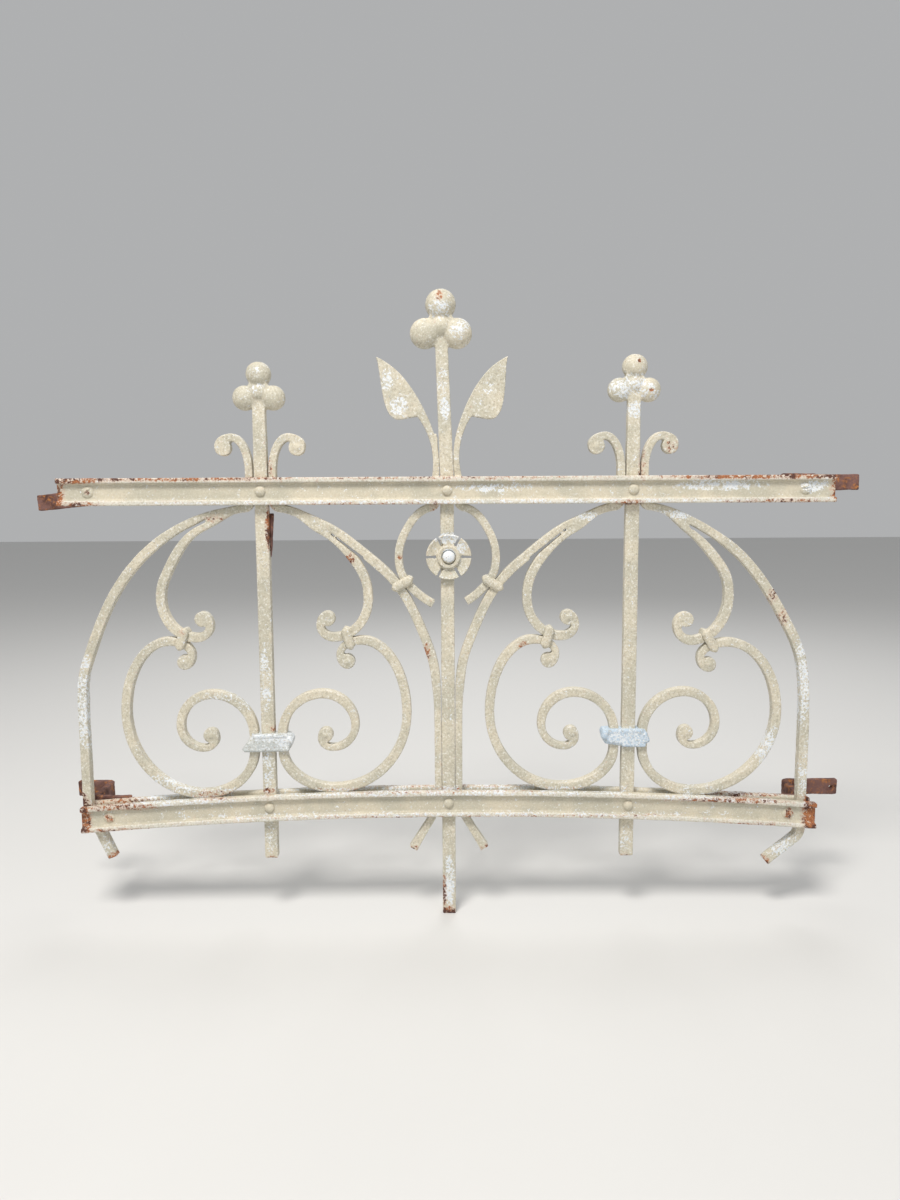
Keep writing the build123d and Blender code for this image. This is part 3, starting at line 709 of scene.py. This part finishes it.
def addButtons(piece, node):
    # The bar rolled up tight and domed by the hammer where it ends
    places = buttonPlaces.get(node, buttonPlaces.get(node.split("_", 1)[1]))
    isLeft = node.startswith("left")
    isOuter = "outer" in node
    barAcross = -sideBarAcross if isLeft else sideBarAcross
    side = -1 if isLeft == isOuter else 1
    depths = [corner[1] for corner in piece.bound_box]
    half = (max(depths) - min(depths)) / 2
    form = bmesh.new()
    for across, up, radius in places.values():
        dome = bmesh.ops.create_uvsphere(form, u_segments=28, v_segments=16, radius=1.0)["verts"]
        bmesh.ops.scale(form, verts=dome, vec=(radius / 1000, half + buttonDome, radius / 1000))
        centre = spot(barAcross + side * across, up)
        centre.y = (max(depths) + min(depths)) / 2
        bmesh.ops.translate(form, verts=dome, vec=centre)
    addForm(piece, form)


# The slit between each arch and its branch: its tip and its mouth, across and up, and half its mouth's width
slitSettings = {
    "left_inner_arch": {"tip": (-143.3, -45.1), "mouth": (-100.0, -79.8), "half": 2.0},
    "right_inner_arch": {"tip": (143.7, -43.2), "mouth": (98.0, -81.0), "half": 2.0},
    "left_outer_arch": {"tip": (-279.9, -30.4), "mouth": (-298.5, -41.0), "half": 1.7},
    "right_outer_arch": {"tip": (278.6, -35.4), "mouth": (291.0, -47.4), "half": 1.7},
}
slitTip = 0.5  # the tip's width as a share of the mouth's
slitDepths = (-10.0, 40.0)  # from well before the bar to well behind it


def addSlit(piece, s):
    # The weld has opened to a crack: a thin wedge is cut out before the skin goes on
    tip, mouth = Vector(s["tip"]), Vector(s["mouth"])
    aside = (mouth - tip).orthogonal().normalized() * s["half"]
    outline = [tip - aside * slitTip, tip + aside * slitTip, mouth + aside, mouth - aside]
    form = bmesh.new()
    addSlab(form, outline, [(deep, 1.0, 1.0) for deep in slitDepths], tip)
    wedge = pieceFromForm(form, "wedgeCut")
    cut = piece.modifiers.new("slit", "BOOLEAN")
    cut.operation = "DIFFERENCE"
    cut.solver = "EXACT"
    cut.object = wedge
    return wedge


rosetteSettings = {
    "across": 1.5,
    "up": -78.0,
    "ringRadius": 12.0,
    "ringThick": 1.7,
    "ringDeep": 4.2,
    "domeRadius": 7.5,
    "domeFlat": 0.62,
    "domeDeep": 3.9,
}


def addRing(piece, s):
    # The rolled ring round the boss: a round section spun about the boss's axis
    form = bmesh.new()
    middle = spot(s["across"], s["up"], s["ringDeep"])
    section = bmesh.ops.create_circle(form, segments=12, radius=s["ringThick"] / 1000)["verts"]
    bmesh.ops.translate(form, verts=section, vec=middle + Vector((s["ringRadius"] / 1000, 0.0, 0.0)))
    bmesh.ops.spin(
        form, geom=form.verts[:] + form.edges[:], cent=middle, axis=(0.0, 1.0, 0.0),
        angle=math.tau, steps=48, use_merge=True,
    )
    bmesh.ops.recalc_face_normals(form, faces=form.faces)
    addForm(piece, form)


def addDome(piece, s):
    # The boss beaten to a full dome
    form = bmesh.new()
    radius = s["domeRadius"] / 1000
    dome = bmesh.ops.create_uvsphere(form, u_segments=32, v_segments=20, radius=radius)["verts"]
    bmesh.ops.scale(form, verts=dome, vec=(1.0, s["domeFlat"], 1.0))
    bmesh.ops.translate(form, verts=dome, vec=spot(s["across"], s["up"], s["domeDeep"]))
    addForm(piece, form)


# The two ties, measured from their side bars. A roll has its two ends, across and up, and its radius
tieSettings = {
    "left_tie": {
        "bar": -218.0,
        "outline": (
            (-32.0, -310.0), (-29.5, -306.5), (-23.5, -297.5), (-17.0, -292.5), (-14.5, -290.5),
            (22.5, -290.0), (28.5, -293.0), (31.0, -297.0), (30.0, -302.0), (27.0, -309.0),
            (23.0, -311.8), (-19.0, -312.0), (-26.0, -312.8), (-31.0, -312.0),
        ),
        "steps": ((4.2, 0.88, 0.50), (6.0, 0.96, 0.84), (9.0, 1.0, 1.0), (22.0, 1.0, 1.0), (26.0, 0.94, 0.8)),
        "middle": (0.0, -303.0),
        "rollDeep": 6.2,
        "rolls": {
            "upper": (-15.0, -293.0, 22.0, -292.3, 3.0),
            "lower": (-27.0, -310.0, 24.0, -309.0, 2.8),
            "end": (26.0, -296.5, 27.5, -300.0, 3.2),
        },
    },
    "right_tie": {
        "bar": 218.0,
        "outline": (
            (-33.5, -291.0), (-31.5, -287.0), (-22.0, -286.5), (14.0, -287.0), (19.0, -287.5),
            (22.5, -292.5), (25.5, -300.0), (25.0, -303.0), (20.0, -307.5), (16.5, -309.8),
            (-1.5, -309.0), (-13.5, -307.8), (-28.0, -305.5), (-31.0, -301.0), (-33.0, -295.0),
        ),
        "steps": ((4.0, 0.86, 0.62), (6.0, 0.95, 0.86), (9.0, 1.0, 1.0), (22.0, 1.0, 1.0), (26.0, 0.94, 0.8)),
        "middle": (-3.0, -298.0),
        "rollDeep": 6.2,
        "rolls": {
            "upper": (-24.0, -289.5, 15.0, -289.5, 2.7),
            "lower": (-6.0, -306.5, 18.0, -306.8, 2.6),
            "knob": (-29.5, -291.5, -30.0, -295.0, 4.2),
            "end": (19.0, -293.0, 22.5, -301.0, 2.8),
        },
    },
}


def addRoll(form, start, stop, radius):
    # A round ended rod between two points
    rod = bmesh.ops.create_cone(
        form, cap_ends=True, segments=20, radius1=radius, radius2=radius, depth=(stop - start).length
    )["verts"]
    turn = (stop - start).to_track_quat("Z", "Y").to_matrix()
    bmesh.ops.rotate(form, verts=rod, cent=(0, 0, 0), matrix=turn)
    bmesh.ops.translate(form, verts=rod, vec=(start + stop) / 2)
    for end in (start, stop):
        ball = bmesh.ops.create_uvsphere(form, u_segments=20, v_segments=12, radius=radius)["verts"]
        bmesh.ops.translate(form, verts=ball, vec=end)


def makeTie(name, s):
    # The band hammered flat round three bars: a lump with its edges rolled over
    form = bmesh.new()
    outline = [(s["bar"] + across, up) for across, up in s["outline"]]
    addSlab(form, outline, s["steps"], (s["bar"] + s["middle"][0], s["middle"][1]))
    for fromAcross, fromUp, toAcross, toUp, radius in s["rolls"].values():
        start = spot(s["bar"] + fromAcross, fromUp, s["rollDeep"])
        stop = spot(s["bar"] + toAcross, toUp, s["rollDeep"])
        addRoll(form, start, stop, radius / 1000)
    return pieceFromForm(form, name)


splinterSettings = {
    "outline": ((-13.2, 13.0), (-8.6, 13.0), (-10.6, 60.0), (-12.2, 66.5), (-13.6, 60.0)),
    "steps": ((11.0, 1.0, 1.0), (17.0, 1.0, 1.0)),
    "middle": (-11.0, 40.0),
}


def addSplinter(piece, s):
    # The thin splinter of bar wedged between the left leaf and the centre bar
    form = bmesh.new()
    addSlab(form, s["outline"], s["steps"], s["middle"])
    addForm(piece, form)


# For each kind of piece: its finish, skin size, rounds of smoothing, depth of dents and ripples, all
# lengths in metres, and the least edge wear, with its painted highlight, where it reaches the level of the
# rails' lips
forgeSettings = {
    "rail": {
        "material": "railPaint",
        "voxel": 0.0013, "rounds": 1, "dent": 0.00012, "ripple": 0.00005, "lip": 0.5,
    },
    "backRail": {
        "material": "railPaint",
        "voxel": 0.0018, "rounds": 1, "dent": 0.00012, "ripple": 0.00005, "lip": 0.5,
    },
    "bar": {
        "material": "barPaint",
        "voxel": 0.0013, "rounds": 1, "dent": 0.0002, "ripple": 0.0001, "lip": 0.0,
    },
    "arch": {
        "material": "barPaint",
        "voxel": 0.0012, "rounds": 1, "dent": 0.0002, "ripple": 0.0001, "lip": 0.0,
    },
    "collar": {
        "material": "barPaint",
        "voxel": 0.0008, "rounds": 5, "dent": 0.0001, "ripple": 0.00005, "lip": 0.0,
    },
    "whiteTie": {
        "material": "whitePaint",
        "voxel": 0.0009, "rounds": 2, "dent": 0.0003, "ripple": 0.00025, "lip": 0.0,
    },
    "tie": {
        "material": "bluishPaint",
        "voxel": 0.0009, "rounds": 2, "dent": 0.0003, "ripple": 0.00025, "lip": 0.0,
    },
    "rivet": {
        "material": "railPaint",
        "voxel": 0.0008, "rounds": 2, "dent": 0.00015, "ripple": 0.0001, "lip": 0.6,
    },
    "screw": {
        "material": "railPaint",
        "voxel": 0.0006, "rounds": 1, "dent": 0.0001, "ripple": 0.00005, "lip": 0.4,
    },
    "leaf": {
        "material": "barPaint",
        "voxel": 0.001, "rounds": 1, "dent": 0.0002, "ripple": 0.0001, "lip": 0.0,
    },
    "rosette": {
        "material": "barPaint",
        "voxel": 0.0006, "rounds": 1, "dent": 0.0001, "ripple": 0.00005, "lip": 0.0,
    },
    "tang": {
        "material": "tangRust",
        "voxel": 0.0013, "rounds": 2, "dent": 0.0006, "ripple": 0.0003, "lip": 0.0,
    },
}
# What the end of a node's name says of its kind. The scrolls, hoops and upright bars are "bar"
kindWords = {
    "rail_front": "rail",
    "rail_back": "backRail",
    "arch": "arch",
    "collar": "collar",
    "left_tie": "whiteTie",
    "tie": "tie",
    "rivets": "rivet",
    "screws": "screw",
    "leaf": "leaf",
    "rosette": "rosette",
    "boss": "rosette",
    "tang": "tang",
    "wedge": "tang",
}
slotOf = {entry["node"]: entry["material_slot"] for entry in frame["record"]["subparts"]}


def kindOf(node):
    for word, kind in kindWords.items():
        if node.endswith(word):
            return kind
    return "bar"


def finish(piece, material, slot, *nodes):
    piece.data.materials.clear()
    piece.data.materials.append(material)
    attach(piece, "root")
    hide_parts(*nodes)


def forge(node):
    kind = kindOf(node)
    s = forgeSettings[kind]
    name = "forged_" + node
    piece = makeTie(name, tieSettings[node]) if node in tieSettings else pieceFromNode(node, name)
    if node in finialSettings:
        addFinial(piece, finialSettings[node], knotSettings)
    if node.endswith("arch") or node.endswith("scroll"):
        addButtons(piece, node)
    if node == "left_leaf":
        addSplinter(piece, splinterSettings)
    if node == "rosette":
        addRing(piece, rosetteSettings)
    if node == "rosette_boss":
        addDome(piece, rosetteSettings)
    wedge = addSlit(piece, slitSettings[node]) if node in slitSettings else None
    fuse(piece, s["voxel"])
    if wedge:
        bpy.data.objects.remove(wedge)
    if kind == "collar":
        swell(piece, collarSettings)
    weather(piece, s)
    finish(piece, finishes[s["material"]], slotOf[node], node)


for node in sorted(frame["nodes"]):
    forge(node)
print("bars, rails and fittings forged")

# Floor and light
floorSettings = {"size": 9.0, "color": (0.66, 0.655, 0.64), "roughness": 0.9}


def makeFloor(s):
    form = bmesh.new()
    bmesh.ops.create_grid(form, x_segments=1, y_segments=1, size=s["size"])
    middleX = (cadBox[0][0] + cadBox[1][0]) / 2
    bmesh.ops.translate(form, verts=form.verts, vec=(middleX, 0.0, cadBox[0][2]))
    floor = pieceFromForm(form, "floor")
    material = bpy.data.materials.new("floorPaper")
    material.use_nodes = True
    shader = material.node_tree.nodes["Principled BSDF"]
    shader.inputs["Base Color"].default_value = (*s["color"], 1.0)
    shader.inputs["Roughness"].default_value = s["roughness"]
    floor.data.materials.append(material)


makeFloor(floorSettings)

lampAim = (-0.482, -0.08, -0.15)
lampSettings = {
    "keyLamp": {"place": (-1.0, -1.5, 2.1), "width": 0.9, "power": 72.0, "color": (1.0, 0.97, 0.93)},
    "fillLamp": {"place": (1.1, -2.0, 0.5), "width": 1.6, "power": 8.0, "color": (0.95, 0.97, 1.0)},
    "backLamp": {"place": (-0.2, 1.7, 1.5), "width": 1.4, "power": 18.0, "color": (1.0, 1.0, 1.0)},
}


def makeLamp(name, s):
    data = bpy.data.lights.new(name, "AREA")
    data.shape = "DISK"
    data.size = s["width"]
    data.energy = s["power"]
    data.color = s["color"]
    lamp = bpy.data.objects.new(name, data)
    bpy.context.scene.collection.objects.link(lamp)
    lamp.location = s["place"]
    lamp.rotation_euler = (Vector(lampAim) - Vector(s["place"])).to_track_quat("-Z", "Y").to_euler()


for name, s in lampSettings.items():
    makeLamp(name, s)

roomSettings = {"color": (0.86, 0.87, 0.88), "strength": 0.5}


def makeRoom(s):
    world = bpy.data.worlds.new("paleRoom")
    world.use_nodes = True
    background = world.node_tree.nodes["Background"]
    background.inputs["Color"].default_value = (*s["color"], 1.0)
    background.inputs["Strength"].default_value = s["strength"]
    bpy.context.scene.world = world


makeRoom(roomSettings)
bpy.context.scene.view_settings.view_transform = "Standard"
print("floor and light set")
